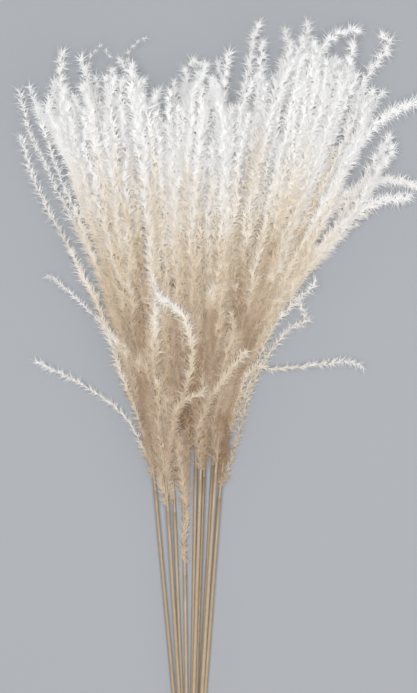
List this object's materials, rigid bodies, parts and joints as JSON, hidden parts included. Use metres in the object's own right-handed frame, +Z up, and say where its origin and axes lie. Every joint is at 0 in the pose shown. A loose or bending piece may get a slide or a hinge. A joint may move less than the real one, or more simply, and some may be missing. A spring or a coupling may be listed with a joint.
{
  "type": "bundle of dried miscanthus",
  "caption": "Loose bunch of bleached dried miscanthus lying down, with feathery plumes that fan out and slender straw culms gathered by an elastic band.",
  "frame": {"origin": "middle of the bundle's box, on the surface it lies on", "axes": "+Y along the culms towards the tips of the plumes, +X to the right seen from above with the plumes away, +Z up"},
  "size_m": [0.34, 0.7566, 0.1079],
  "materials": {
    "culm": "dried straw, satin",
    "plume": "bleached silky hair, matt",
    "band": "natural rubber, matt"
  },
  "bodies": {
    "root": {"band": "band", "culm_01": "culm", "culm_02": "culm", "culm_03": "culm", "culm_04": "culm", "culm_05": "culm", "culm_06": "culm", "culm_07": "culm", "culm_08": "culm", "culm_09": "culm", "culm_10": "culm", "plume_01": "plume", "plume_02": "plume", "plume_03": "plume", "plume_04": "plume", "plume_05": "plume", "plume_06": "plume", "plume_07": "plume", "plume_08": "plume", "plume_09": "plume", "plume_10": "plume"}
  },
  "joints": []
}
